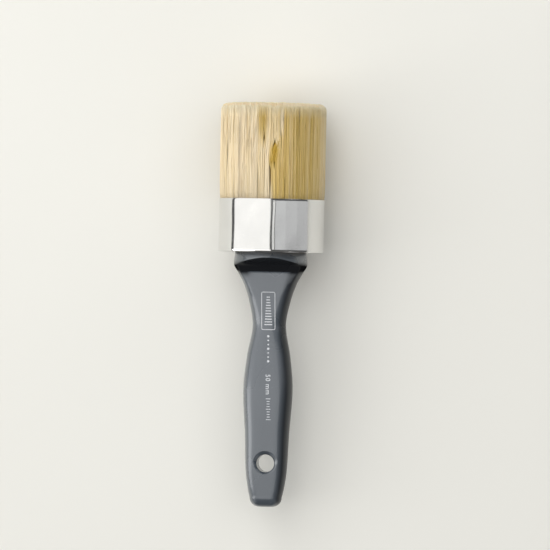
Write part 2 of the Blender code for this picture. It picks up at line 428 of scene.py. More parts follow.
def ring_turns(half_width, half_thickness):
    """Angles of a ring's points, with one on each edge between a planed flat and the turned sides."""
    edge = min(math.asin(min(1.0, half_thickness / max(half_width, half_thickness))), STEEPEST_EDGE)
    quarter = [edge * k / SIDE_POINTS for k in range(SIDE_POINTS)]
    quarter += [edge + (math.pi / 2 - edge) * k / FLAT_POINTS for k in range(FLAT_POINTS)]
    half = quarter + [math.pi / 2] + [math.pi - a for a in reversed(quarter[1:])]
    return half + [math.pi + a for a in half]


def handle_ring(depth, section):
    turns = ring_turns(*section[:2])
    return [on_axis(section_radius(a, *section), a, RIM_Y - depth) for a in turns]


def handle_depths():
    """Where the handle's sections lie: close together in the scoop and further apart along the grip."""
    depths = [0.0]
    for low, high, steps in ((0.0, COVE_TOP, 6), (COVE_TOP, COVE_END, 30), (COVE_END, TAIL, 96)):
        depths += [low + (high - low) * k / steps for k in range(1, steps + 1)]
    return depths


def hole_cutter():
    """A plug with flared ends, which leaves the hanging hole with rounded rims."""
    surface = along(HALF_THICKNESSES, HOLE_DEPTH)
    centre_y = RIM_Y - HOLE_DEPTH
    flare = HOLE_RIM_R - HOLE_R
    half = [(surface + flare, HOLE_RIM_R + 0.3 * flare)]
    steps = 8
    for k in range(steps + 1):
        share = k / steps
        half.append((surface - HOLE_EASE * share**1.35, HOLE_R + flare * (1 - share) ** 1.2))
    half.append((0.0, HOLE_R))
    profile = [(-h, r) for h, r in half] + [(h, r) for h, r in reversed(half[:-1])]
    rings = [
        [(r * math.cos(a), centre_y + r * math.sin(a), AXIS_Z + h) for a in around(72)] for h, r in profile
    ]
    return loft("hole_cutter", rings)


def carve(obj, cutter):
    """Cuts cutter out of obj for good, and removes the cutter."""
    boolean = obj.modifiers.new("cut", "BOOLEAN")
    boolean.operation = "DIFFERENCE"
    boolean.solver = "EXACT"
    boolean.object = cutter
    mesh = evaluated_mesh(obj)
    obj.modifiers.clear()
    obj.data = mesh
    bpy.data.objects.remove(cutter)
    mesh.shade_smooth()
    mesh.set_sharp_from_angle(angle=math.radians(CUT_SHARP_DEG))
    return obj


def make_handle(material):
    tenon_end = RIM_Y - HANDLE_TOP
    neck = (
        (TENON_R * 0.94, tenon_end), (TENON_R, tenon_end + 0.6 * MM), (TENON_R, SHOULDER_DEPTH),
        (COLLAR_R - 1.2 * MM, SHOULDER_DEPTH), (COLLAR_R - 0.7 * MM, SHOULDER_DEPTH + 0.15 * MM),
    )
    rings = [handle_ring(depth, (r, r, COVE_CRISPNESS)) for r, depth in neck]
    rings += [handle_ring(depth, handle_section(depth)) for depth in handle_depths()]
    half_width, half_thickness, crispness = handle_section(TAIL)
    steps = 14
    for k in range(1, steps + 1):
        turn = math.pi / 2 * k / steps
        inset = BUTT_ROUND * (1 - math.cos(turn))
        thin = half_thickness * (1 - inset / half_width)
        depth = TAIL + BUTT_ROUND * math.sin(turn)
        rings.append(handle_ring(depth, (half_width - inset, thin, crispness)))
    handle = carve(loft("lacquered_handle", rings), hole_cutter())
    paint_handle_shade(handle)
    return dressed(handle, material, stands_for=("handle",))


def paint_handle_shade(handle):
    """Paints shade into the lacquer, nearly black and less glossy: in the scoop under the collar, on the
    turned sides beside it and along the right-hand edge.
    """
    values = []
    for vertex in handle.data.vertices:
        x, y, z = vertex.co
        depth = (RIM_Y - y) / MM
        value = 0.0
        if depth > COVE_TOP / MM:
            half_width = handle_section(depth * MM)[0]
            # Painted shade in the scoop under the collar, fading out on the turned sides beside it
            if math.hypot(x, z - AXIS_Z) < half_width - 0.06 * MM and depth < COVE_END / MM - 0.01:
                value = SCOOP_PAINTED_SHADE
            elif depth < COVE_END / MM + 5:
                value = float(smoothstep((depth - 4.0) / 2.5) * smoothstep((13.0 - depth) / 4.0))
                value = value * float(smoothstep((abs(x) / half_width - 0.5) / 0.2))
            # Painted shade along the right-hand edge of the handle
            if depth > COVE_END / MM:
                value = max(value, EDGE_PAINTED_SHADE * float(smoothstep((x / half_width - 0.5) / 0.35)))
        values.append([value])
    paint(handle.data, "painted_shade", values)


# ---- print on the flat

PRINT_LIFT = 0.03 * MM
# How far the print drifts to +x for each unit of depth, about its frame
PRINT_SKEW, SKEW_CENTRE = 0.022, 28 * MM
LINE_WIDTH, BAR_WIDTH = 0.34 * MM, 0.5 * MM
# A line is cut in steps of about this length, and each step laps the next by a share of its width
LINE_STEP, LINE_LAP = 0.6 * MM, 0.12
FRAME_DEPTH, FRAME_HALF_X, FRAME_HALF, FRAME_CORNER = 28.3 * MM, 3.2 * MM, 9.0 * MM, 0.7 * MM
BARS, BAR_MARGIN = 11, 2.4 * MM
# Depth of the first dot and tick and the steps between them, in millimetres
DOTS, FIRST_DOT, DOT_STEP = 7, 40.5, 2.0
TICKS, FIRST_TICK, TICK_STEP = 9, 70.5, 1.25
FIGURES, FIGURES_DEPTH, FIGURES_HEIGHT = "50 mm", 58.7 * MM, 2.3 * MM
# Height of a figure as a share of the font's size
FIGURE_SHARE = 0.72


def on_flat(x, depth):
    """The point of the print at x and a depth, a hair above the lacquer, with the print's skew."""
    x = x + PRINT_SKEW * (depth - SKEW_CENTRE)
    half_width, half_thickness, crispness = handle_section(depth)
    angle = math.pi / 2
    for _ in range(12):
        radius = section_radius(angle, half_width, half_thickness, crispness)
        angle = math.acos(max(-1.0, min(1.0, x / radius)))
    return Vector((x, RIM_Y - depth, AXIS_Z + radius * math.sin(angle) + PRINT_LIFT))


def ribbon(points, width, closed=False):
    """Flat quads of a line of (x, depth) points, as a list of short outlines that follow the flat."""
    steps = []
    for (x0, d0), (x1, d1) in zip(points, points[1:] + points[:1] if closed else points[1:]):
        parts = max(1, round(math.hypot(x1 - x0, d1 - d0) / LINE_STEP))
        steps += [(x0 + (x1 - x0) * k / parts, d0 + (d1 - d0) * k / parts) for k in range(parts)]
    if not closed:
        steps.append(points[-1])
    points, count = steps, len(steps)
    quads = []
    for i in range(count if closed else count - 1):
        (x0, d0), (x1, d1) = points[i], points[(i + 1) % count]
        length = math.hypot(x1 - x0, d1 - d0)
        ux, ud = (x1 - x0) / length * width, (d1 - d0) / length * width
        nx, nd, ex, ed = -ud / 2, ux / 2, ux * LINE_LAP, ud * LINE_LAP
        quads.append(
            [(x0 + nx - ex, d0 + nd - ed), (x0 - nx - ex, d0 - nd - ed),
             (x1 - nx + ex, d1 - nd + ed), (x1 + nx + ex, d1 + nd + ed)]
        )
    return quads


def rounded_frame(depth, half_x, half_d, radius):
    points, steps = [], 6
    for corner, (sx, sd) in enumerate(((1, 1), (-1, 1), (-1, -1), (1, -1))):
        for k in range(steps + 1):
            a = math.pi / 2 * (corner + k / steps)
            across = sx * (half_x - radius) + radius * math.cos(a)
            points.append((across, depth + sd * (half_d - radius) + radius * math.sin(a)))
    return points


def disc(depth, radius):
    return [(radius * math.cos(a), depth + radius * math.sin(a)) for a in around(14)]


def inked(name, outlines, material):
    """Thin slabs of ink that follow the flat, one for each outline of (x, depth) points."""
    points, faces = [], []
    for outline in outlines:
        start, count = len(points), len(outline)
        tops = [on_flat(x, d) for x, d in outline]
        points += tops + [p - Vector((0, 0, 1.5 * PRINT_LIFT)) for p in tops]
        faces.append(tuple(range(start, start + count)))
        faces.append(tuple(reversed(range(start + count, start + 2 * count))))
        for i in range(count):
            j = (i + 1) % count
            faces.append((start + j, start + i, start + count + i, start + count + j))
    finish_ink(mesh_object(name, points, faces, sharp_deg=30), material)


def finish_ink(obj, material):
    """Turns the faces of every slab of ink outwards and gives the mark its material and body."""
    bm = bmesh.new()
    bm.from_mesh(obj.data)
    bmesh.ops.recalc_face_normals(bm, faces=bm.faces)
    bm.to_mesh(obj.data)
    bm.free()
    dressed(obj, material)


def make_print(material):
    """Generic marks: a framed row of graded bars, a row of dots and a nominal size in plain figures."""
    frame_line = rounded_frame(FRAME_DEPTH, FRAME_HALF_X, FRAME_HALF, FRAME_CORNER)
    outlines = ribbon(frame_line, LINE_WIDTH, closed=True)
    for k in range(BARS):
        depth = FRAME_DEPTH - FRAME_HALF + BAR_MARGIN + 2 * (FRAME_HALF - BAR_MARGIN) * k / (BARS - 1)
        reach = (0.7 + 1.1 * k / (BARS - 1)) * MM
        outlines += ribbon([(-reach, depth), (reach, depth)], BAR_WIDTH)
    inked("print_frame_mark", outlines, material)
    dots = [disc((FIRST_DOT + DOT_STEP * k) * MM, (0.40 if k % 3 else 0.58) * MM) for k in range(DOTS)]
    inked("print_dot_row", dots, material)
    ticks = []
    for k in range(TICKS):
        reach = 1.05 * MM if k % 4 == 0 else 0.65 * MM
        depth = (FIRST_TICK + TICK_STEP * k) * MM
        ticks += ribbon([(-reach, depth), (reach, depth)], LINE_WIDTH)
    inked("print_tick_scale", ticks, material)
    make_figures(material)


def make_figures(material):
    """Plain figures that read down the handle, from the tuft to the butt."""
    curve = bpy.data.curves.new("print_size_figures", "FONT")
    curve.body = FIGURES
    curve.size = FIGURES_HEIGHT / FIGURE_SHARE
    curve.space_character = 1.12
    curve.extrude = 1.5 * PRINT_LIFT
    curve.offset = 0.03 * MM
    curve.resolution_u = 4
    text = new_object("print_size_figures", curve)
    bpy.context.view_layer.update()
    mesh = evaluated_mesh(text)
    bpy.data.objects.remove(text)
    for vertex in mesh.vertices:
        right, up, out = vertex.co
        place = on_flat(up - FIGURES_HEIGHT / 2, FIGURES_DEPTH + right)
        vertex.co = place + Vector((0, 0, out - 0.5 * PRINT_LIFT))
    finish_ink(new_object("print_size_figures", mesh), material)


# ---- ferrule

WALL = 0.5 * MM
SEAM_ANGLE = math.radians(252)
SEAM_HALF = 1.7 * MM
SEAM_RISE = 0.22 * MM
BRAD_ANGLES = (math.radians(230), math.radians(310))


def sleeve_swell(angle, y):
    """How far the sleeve stands off a true cylinder: its lap seam and the slight waviness of sheet."""
    across = (math.remainder(angle - SEAM_ANGLE, 2 * math.pi)) * FERRULE_R
    seam = SEAM_RISE * float(smoothstep((SEAM_HALF - abs(across)) / (0.35 * MM) + 0.5))
    groove = 0.12 * MM * math.exp(-(((across - SEAM_HALF) / (0.25 * MM)) ** 2))
    wave = 0.016 * MM * math.sin(5 * angle + 0.9) + 0.012 * MM * math.sin(11 * angle + 260 * y)
    return seam - groove + wave


def make_ferrule(material):
    ease = 0.13 * MM
    outline = [(-WALL, RIM_Y + ease), (-WALL + ease * 0.4, RIM_Y), (-ease * 0.5, RIM_Y)]
    steps = 26
    for k in range(steps + 1):
        outline.append((0.0, RIM_Y + ease + (MOUTH_Y - RIM_Y - 2 * ease) * k / steps))
    outline += [(-ease * 0.5, MOUTH_Y), (-WALL + ease * 0.4, MOUTH_Y), (-WALL, MOUTH_Y - ease)]
    for k in range(1, 6):
        outline.append((-WALL, MOUTH_Y - ease + (RIM_Y - MOUTH_Y + 2 * ease) * k / 6))
    turns = set(around(240))
    turns |= {SEAM_ANGLE + (0.12 * MM * k) / FERRULE_R for k in range(-19, 22)}
    turns = sorted(a % (2 * math.pi) for a in turns)
    rings = [
        [on_axis(FERRULE_R + off + sleeve_swell(a, y), a, y) for a in turns] for off, y in outline
    ]
    sleeve = loft("plated_ferrule", rings, wraps=True, sharp_deg=50)
    dressed(sleeve, material, stands_for=("ferrule",))


def make_brads(material):
    """Domed heads of the two brads, with the shank that goes through the sleeve."""
    seat = FERRULE_R + 0.05 * MM
    head_r, head_h, shank_r, brim = 1.9 * MM, 0.85 * MM, 0.7 * MM, 0.12 * MM
    y = sum(corner.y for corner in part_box("ferrule_brad_1")) / 2
    for number, angle in enumerate(BRAD_ANGLES, 1):
        profile = [(seat - 7.7 * MM, shank_r * 0.2), (seat - 6.6 * MM, shank_r), (seat, shank_r)]
        profile += [(seat, head_r * 0.96), (seat + brim, head_r)]
        for k in range(1, 9):
            turn = math.pi / 2 * k / 9
            rise = brim + (head_h - brim) * math.sin(turn)
            profile.append((seat + rise, head_r * math.cos(turn)))
        rings = []
        for distance, radius in profile:
            x, _, z = on_axis(distance, angle, y)
            around_head = [(radius * math.cos(a), radius * math.sin(a)) for a in around(36)]
            rings.append([(x - u * math.sin(angle), y + v, z + u * math.cos(angle)) for u, v in around_head])
        name = f"ferrule_brad_{number}"
        dressed(loft(f"domed_brad_{number}", rings), material, stands_for=(name,))


def make_plug(material):
    """The wooden plug in the ferrule's lower end, its visible face lightly turned."""
    radius, socket = FERRULE_R - WALL - 0.15 * MM, TENON_R + 0.15 * MM
    outline = [(socket, PLUG_LOW), (socket + 2 * MM, PLUG_LOW)]
    steps = 14
    for k in range(steps + 1):
        r = socket + 2 * MM + (radius - socket - 2.4 * MM) * k / steps
        outline.append((r, PLUG_LOW + 0.03 * MM * (k % 2)))
    outline += [(radius, PLUG_LOW + 0.4 * MM), (radius, PLUG_HIGH), (socket, PLUG_HIGH)]
    plug = turned("turned_base_plug", outline, wraps=True)
    dressed(plug, material, stands_for=("base_plug",))


# ---- tuft

TUFT_R = FERRULE_R - 0.15 * MM
TUFT_EDGE = 3.6 * MM
ROOT_Y = MOUTH_Y - 1.6 * MM
BED_DROP = 2.6 * MM
HAIR_R = 0.14 * MM
OUTER_HAIRS, CURL_HAIRS = 195, 130
OUTER_SEED, INNER_SEED, CORE_SEED = 100, 200, 900
# How far the inner ring of locks reaches beyond the core, and the gap before each ring
INNER_REACH, LOCK_GAP = 8.3 * MM, 0.3 * MM
WALL_SPACING, TIP_PITCH = 0.36 * MM, 0.52 * MM
CURL_LOCK = 2
# How far right of straight up the tuft's showing face is turned
FACE_TURN = math.radians(5.5)
# The tints of a hair from palest to darkest, in even steps of its tone from 0 to 1
TINTS = np.array(
    ((0.95, 0.83, 0.62), (0.92, 0.77, 0.49), (0.82, 0.63, 0.27), (0.64, 0.45, 0.10), (0.42, 0.25, 0.02))
)
STRAW, AMBER = TINTS[2], TINTS[4]
PALE_TIP = np.array((0.97, 0.93, 0.76))


def trimmed_height(radius):
    """Height of the trimmed tip at a radius: flat, with the tuft's outer edge rounded over."""
    over = np.clip((radius - (TUFT_R - TUFT_EDGE)) / TUFT_EDGE, 0.0, 1.0)
    return TUFT_HEIGHT - TUFT_EDGE * 0.8 * (1 - np.sqrt(1 - over**2))


def round_axis(radius, angle, y):
    """Hair paths from their radius and angle round the axis, as hairs x points x 3."""
    return np.stack([radius * np.cos(angle), y + 0 * angle, AXIS_Z + radius * np.sin(angle)], axis=2)


def waver(rng, size, slow, fast, t, phase):
    """A small wave along each hair, with its own size and pace."""
    own = (len(phase), 1)
    return rng.normal(0, size, own) * np.sin(rng.uniform(slow, fast, own) * t + phase)


def between(foot, head, share):
    return foot + (head - foot) * np.clip(share, 0, 1)


def hairs_mesh(paths, radii, tints):
    """Vertices, faces and tints of closed hairs. paths is hairs x points x 3, radii and tints alike."""
    (hairs, count), sides = paths.shape[:2], 3
    turns = np.arange(sides) * 2 * np.pi / sides
    ring = np.stack([np.cos(turns), np.zeros(sides), np.sin(turns)], axis=1)
    points = paths[:, :, None, :] + radii[:, :, None, None] * ring[None, None]
    tint = np.repeat(tints[:, :, None, :], sides, axis=2)
    row, side = np.arange(count - 1)[:, None] * sides, np.arange(sides)[None]
    a, b = (row + side).ravel(), (row + (side + 1) % sides).ravel()
    quads = np.stack([a, a + sides, b + sides, b], axis=1)
    starts = np.arange(hairs)[:, None, None] * (count * sides)
    faces = (quads[None] + starts).reshape(-1, 4).tolist()
    root = np.arange(sides)
    tip = np.arange(sides)[::-1] + (count - 1) * sides
    faces += (root[None] + starts[:, 0]).tolist()
    faces += (tip[None] + starts[:, 0]).tolist()
    return points.reshape(-1, 3), faces, tint.reshape(-1, 3)


def join_parts(name, parts, material):
    """One mesh object from several (points, faces, tints)."""
    faces, start = [], 0
    for points, part_faces, _ in parts:
        faces += [tuple(i + start for i in face) for face in part_faces]
        start += len(points)
    mesh = bpy.data.meshes.new(name)
    mesh.from_pydata(np.concatenate([part[0] for part in parts]).tolist(), [], faces)
    mesh.shade_smooth()
    paint(mesh, "tint", np.minimum(np.concatenate([part[2] for part in parts]), 0.98))
    mesh.materials.append(material)
    return new_object(name, mesh)


def lock_bed(rng, inner, outer, middle, width):
    """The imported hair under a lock's outer hairs: a fluted wedge a little smaller than the lock."""
    low, high = ROOT_Y, TIP_Y - BED_DROP
    arc, side, back = 44, 14, 12
    trim = 0.1 * MM
    perimeter = [(outer, middle - width / 2 + width * k / (arc - 1)) for k in range(arc)]
    perimeter += [(outer + (inner - outer) * k / side, middle + width / 2) for k in range(1, side)]
    perimeter += [(inner, middle + width / 2 - width * k / (back - 1)) for k in range(back)]
    perimeter += [(inner + (outer - inner) * k / side, middle - width / 2) for k in range(1, side)]
    radius, angle = np.array(perimeter).T.copy()
    angle -= np.sign(angle - middle) * trim / radius
    count, rows = len(perimeter), 16
    flute = rng.uniform(0.0, 0.45 * MM, count)
    shade = rng.uniform(0.75, 1.0, count)
    points, tints = [], []
    for k in range(rows):
        share = k / (rows - 1)
        y = low + (high - low) * share
        drift = np.roll(flute, int(round(share * 2)))
        r = radius - drift * np.where(radius > (inner + outer) / 2, 1.0, -0.6)
        shrink = 1 - 0.06 * max(0.0, share - 0.9) / 0.1
        r = inner + (r - inner) * shrink
        x, z, height = r * np.cos(angle), AXIS_Z + r * np.sin(angle), (y - MOUTH_Y) / MM
        points.append(np.stack([x, np.full(count, y), z], axis=1))
        across, up = face_view(x, z)
        _, parting_shade = parted(across[:, None], up[:, None], np.full((count, 1), height))
        # Painted shade: the bed is a tone darker than the hairs over it, and darker again towards the
        # ferrule's mouth.
        tone = tone_at(x, z, height) + 0.14
        tint = tint_of(tone) * shade[:, None] * (0.86 + 0.14 * share)
        # Painted shade: deep in a parting the bed goes dark amber.
        tint = tint * (1 - parting_shade) + AMBER * 0.35 * parting_shade
        tints.append(tint + (PALE_TIP * 0.92 - tint) * smoothstep((share - 0.86) / 0.12))
    return np.concatenate(points), skin_faces(rows, count), np.concatenate(tints)


def face_view(x, z):
    """Turns a point of a section so that the tuft's showing face, a little right of up, is upwards."""
    cos, sin = math.cos(FACE_TURN), math.sin(FACE_TURN)
    z = z - AXIS_Z
    return (x * cos - z * sin) / MM, (x * sin + z * cos) / MM


def tone_at(x, z, height):
    """The tuft's own tone at a place: cream to the left of a winding line, straw to its right."""
    across, up = face_view(x, z)
    line = np.interp(height, *zip(*TONE_LINE))
    right = smoothstep((across - line) / 1.3 + 0.5)
    showing = 0.12 + 0.42 * right - 0.24 * smoothstep((across - 20.5) / 3.5)
    angle = np.arctan2(up, across)
    hidden = 0.34 - 0.12 * np.cos(angle + 0.5) + 0.07 * np.sin(3 * angle + 0.6)
    upper = smoothstep(up / 5.0 + 0.8)
    tone = upper * showing + (1 - upper) * hidden
    for foot_x, head_x, low, high, foot_half, head_half, goal, strength in PATCHES:
        share = (height - low) / (high - low)
        inside = smoothstep(share * 6) * smoothstep((1 - share) * 6) * (up > 0)
        away = (across - between(foot_x, head_x, share)) / between(foot_half, head_half, share)
        weight = strength * inside * np.exp(-(away**4))
        tone = tone * (1 - weight) + goal * weight
    return tone


def tint_of(tone):
    """The colour of a tone from 0, palest, to 1, darkest."""
    tone = np.clip(tone, 0, 0.999) * (len(TINTS) - 1)
    low = tone.astype(int)
    share = (tone - low)[..., None]
    return TINTS[low] * (1 - share) + TINTS[low + 1] * share


def own_shift(rng, hairs):
    """How far each hair's tone lies from its neighbours': mostly little, now and then a lot."""
    odd = rng.uniform(0, 1, hairs)
    return rng.normal(0, 0.035, hairs) + np.where(odd > 0.95, 0.18, 0) - np.where(odd < 0.06, 0.18, 0)


# Height and x of the line between the cream and the straw side of the showing face, in millimetres.
TONE_LINE = (
    (0.0, 0.3), (18.0, -1.7), (23.0, -0.8), (28.0, 3.0), (33.0, 4.9), (39.0, 4.4), (46.0, 2.0),
)
# Partings of the showing face: x at foot and head, height of foot and head, half width.
PARTINGS = (
    (0.4, -1.9, 0.0, 19.0, 0.62),
    (6.0, 5.9, 0.0, 13.0, 0.26),
    (-7.3, -7.2, 0.0, 23.0, 0.16),
    (-1.8, 3.6, 15.5, 30.5, 1.5),
    (3.0, 4.1, 26.5, 32.5, 0.36),
    (4.5, 4.5, 33.0, 42.0, 0.20),
    (-4.9, -3.8, 26.5, 30.5, 0.6),
    (-4.4, -5.2, 29.0, 41.0, 0.16),
    (10.2, 10.3, 32.0, 41.5, 0.18),
    (15.0, 15.1, 31.0, 41.0, 0.30),
    (17.7, 17.8, 11.0, 20.0, 0.18),
    (14.3, 14.4, 13.0, 20.0, 0.14),
    (-20.3, -23.0, 0.0, 38.0, 0.5),
)
# Patches of tone on that face: x at foot and head, height of both, half width at both, tone, strength.
PATCHES = (
    (1.0, 1.4, 26.0, 46.5, 3.0, 3.3, 0.36, 0.85),
    (-4.6, -5.3, 26.5, 47.5, 1.7, 4.0, 0.54, 0.9),
    (-4.7, -5.0, 33.0, 44.5, 0.9, 1.1, 0.72, 0.6),
    (0.0, 0.9, 15.5, 28.5, 1.9, 2.2, 0.86, 0.9),
    (3.0, 3.4, 0.0, 17.0, 2.9, 3.0, 0.66, 0.5),
    (4.3, 4.3, 34.0, 43.0, 0.5, 0.7, 0.0, 0.8),
)


def parted(across, up, height):
    """How far hairs move aside at the partings, in millimetres, and how strongly shade is painted on a place
    deep in a parting.
    """
    shift, parting_shade = np.zeros_like(across), np.zeros_like(across)
    for foot_x, head_x, low, high, half in PARTINGS:
        share = (height - low) / (high - low)
        if low <= 0:
            width = half * smoothstep((1 - share) * 2.2)
        else:
            width = half * np.sin(np.pi * np.clip(share, 0, 1)) ** 1.3
        away = across - between(foot_x, head_x, share)
        side = np.where(away.mean(axis=-1, keepdims=True) >= 0, 1.0, -1.0)
        shift += side * width * np.exp(-np.abs(away) / (0.7 + half))
        parting_shade = np.maximum(parting_shade, np.exp(-((away / (0.5 + half)) ** 2)) * smoothstep(width / 0.15))
    return np.where(up > 0, shift, 0.0), np.where(up > 0, parting_shade, 0.0)


def part_hairs(paths):
    """Opens the partings of the showing face."""
    across, up = face_view(paths[:, :, 0], paths[:, :, 2])
    shift, _ = parted(across, up, (paths[:, :, 1] - MOUTH_Y) / MM)
    turn = shift * MM / TUFT_R
    cos, sin = np.cos(-turn), np.sin(-turn)
    px, pz = paths[:, :, 0].copy(), paths[:, :, 2] - AXIS_Z
    paths[:, :, 0] = px * cos - pz * sin
    paths[:, :, 2] = AXIS_Z + px * sin + pz * cos
    return paths


def outer_hairs(rng, middle, width):
    """Long hairs that make a lock's outer face, gathered in thin clumps."""
    hairs = OUTER_HAIRS
    share = (np.arange(hairs) + rng.uniform(0, 1, hairs)) / hairs
    root_angle = middle + (share - 0.5) * width * 1.01
    depth = rng.beta(1.0, 1.7, hairs) * 0.85 * MM
    clumps = 16
    spots = np.concatenate([[0.0, 1.0], np.sort(rng.uniform(0.04, 0.96, clumps - 2))])
    centres = middle + (spots - 0.5) * width
    own = np.argmin(np.abs(root_angle[:, None] - centres[None]), axis=1)
    pull_root, pull_tip = rng.uniform(-0.05, 0.14, clumps)[own], rng.uniform(-0.05, 0.26, clumps)[own]
    lean = rng.normal(0, 0.004, clumps)[own] + rng.normal(0, 0.005, hairs)
    stray = rng.uniform(0, 1, hairs) > 0.95
    lean = lean + np.where(stray, rng.normal(0, 0.03, hairs), 0)
    lean = lean + (2 * share - 1) ** 5 * rng.uniform(0, 0.075, hairs)
    depth = np.where(stray, -0.02 * MM, depth)
    count = 10
    t = np.linspace(0, 1, count)[None]
    tip_height = trimmed_height(TUFT_R - depth) + rng.normal(-0.1 * MM, 0.16 * MM, hairs)
    y = ROOT_Y + (MOUTH_Y + tip_height - ROOT_Y)[:, None] * t
    height = y - MOUTH_Y
    gather = (pull_root[:, None] * (1 - t) + pull_tip[:, None] * t) * (centres[own] - root_angle)[:, None]
    phase = rng.uniform(0, 2 * math.pi, (hairs, 1))
    wave = waver(rng, 0.09 * MM, 3, 7, t, phase) + waver(rng, 0.05 * MM, 9, 16, t, phase)
    angle = root_angle[:, None] + gather + lean[:, None] * t + wave * (0.3 + t) / TUFT_R
    swell = 0.45 * MM * (1 - smoothstep(height / (4.5 * MM)))
    radius = TUFT_R - depth[:, None] - swell + rng.normal(0, 0.04 * MM, (hairs, 1)) * t
    over = np.clip((height - (TUFT_HEIGHT - TUFT_EDGE)) / TUFT_EDGE, 0, 1)
    billow = 0.10 * MM * np.sin(9 * angle + 70 * y) * smoothstep(height / (9 * MM))
    radius = radius - 0.3 * MM * over**2 + billow
    paths = round_axis(radius, angle, y)
    thick = HAIR_R * rng.uniform(0.75, 1.15, (hairs, 1)) * (1.08 - 0.25 * t)
    paths = part_hairs(paths)
    # Painted shade: hairs that lie deeper in the lock are a little darker.
    shift = own_shift(rng, hairs) + rng.normal(0, 0.04, clumps)[own] + 0.05 * depth / MM
    tone = tone_at(paths[:, :, 0], paths[:, :, 2], height / MM) + shift[:, None]
    # Each hair's own brightness, with painted shade darkening its lower part towards the ferrule.
    brightness_and_root_shade = rng.uniform(0.95, 1.03, (hairs, 1)) * (0.88 + 0.12 * smoothstep(t * 2.2))
    tints = tint_of(tone) * brightness_and_root_shade[:, :, None]
    end = (0.7 * smoothstep((height - TUFT_HEIGHT + 4.5 * MM) / (3.6 * MM)))[:, :, None]
    tints = tints * (1 - end) + PALE_TIP * end
    return hairs_mesh(paths, thick, tints)


def curl_hairs(rng):
    """The golden curl in the widest parting, from a third to two thirds of the way up the showing face."""
    hairs, count = CURL_HAIRS, 9
    t = np.linspace(0, 1, count)[None]
    lane = rng.uniform(-1, 1, (hairs, 1))
    foot, head = 15.5 + rng.uniform(0, 2.5, (hairs, 1)), 30.5 - rng.beta(2.2, 1.4, (hairs, 1)) * 6.5
    height = foot + (head - foot) * t
    sweep = smoothstep((height - 18.0) / 14.0)
    belly = np.sin(np.pi * np.clip((height - 15.0) / 16.0, 0, 1) ** 0.85)
    across = (-1.6 + 5.2 * sweep**1.5 + (lane * 2.8 + 1.8) * belly) * MM
    radius = TUFT_R - (0.12 + 0.55 * np.abs(lane)) * MM + rng.normal(0, 0.06 * MM, (hairs, 1))
    angle = math.pi / 2 - FACE_TURN - across / TUFT_R
    y = MOUTH_Y + height * MM
    paths = round_axis(radius, angle, y)
    thick = HAIR_R * 1.15 * np.sin(np.pi * (0.12 + 0.76 * t)) * rng.uniform(0.9, 1.2, (hairs, 1))
    # Painted shade: the curl's amber stands partly for its hairs' own colour and partly for shade in the
    # parting, and its edges, where it sinks into the parting, are darker still.
    edge = smoothstep(np.abs(lane) * 3 - 1.8)
    tone = 0.93 + 0.07 * edge + rng.normal(0, 0.06, (hairs, 1)) - 0.12 * np.abs(t - 0.55)
    return hairs_mesh(paths, thick, tint_of(tone) * (1 - 0.45 * edge)[:, :, None])


def wall_hairs(rng, inner, outer, middle, width, outside):
    """Hairs on the hidden faces of a lock, which show when the locks spread apart."""
    inset = 0.14 * MM
    radius, angle, lean = [], [], []
    across = int((outer - inner) / WALL_SPACING)
    for side in (-1, 1):
        r = inner + (outer - inner) * (np.arange(across) + rng.uniform(0, 1, across)) / across
        radius.append(r)
        angle.append(middle + side * (width / 2 - inset / r))
        lean.append(side * rng.uniform(0, 1.3 * MM, across) / r)
    for face in (inner + inset, outer - inset) if outside else (inner + inset,):
        round_it = int(width * face / WALL_SPACING)
        radius.append(np.full(round_it, face))
        lean.append(rng.normal(0, 0.3 * MM, round_it) / face)
        angle.append(middle + width * ((np.arange(round_it) + rng.uniform(0, 1, round_it)) / round_it - 0.5))
    radius, angle, lean = map(np.concatenate, (radius, angle, lean))
    hairs, count = len(radius), 7
    t = np.linspace(0, 1, count)[None]
    phase = rng.uniform(0, 2 * math.pi, (hairs, 1))
    wave = waver(rng, 0.07 * MM, 4, 10, t, phase)
    y = ROOT_Y + (TIP_Y - ROOT_Y - 0.8 * MM - rng.uniform(0, 1.2 * MM, (hairs, 1))) * t
    radius = radius[:, None] + wave
    angle = angle[:, None] + wave[::-1] / radius + lean[:, None] * t**2
    paths = round_axis(radius, angle, y)
    thick = 0.20 * MM * rng.uniform(0.8, 1.15, (hairs, 1)) * (1.05 - 0.2 * t)
    tone = rng.uniform(0.15, 0.5, hairs) + own_shift(rng, hairs)
    # Painted shade: each hair darkens towards the ferrule.
    tints = tint_of(tone)[:, None] * (0.7 + 0.3 * t)[:, :, None]
    return hairs_mesh(paths, thick, tints)


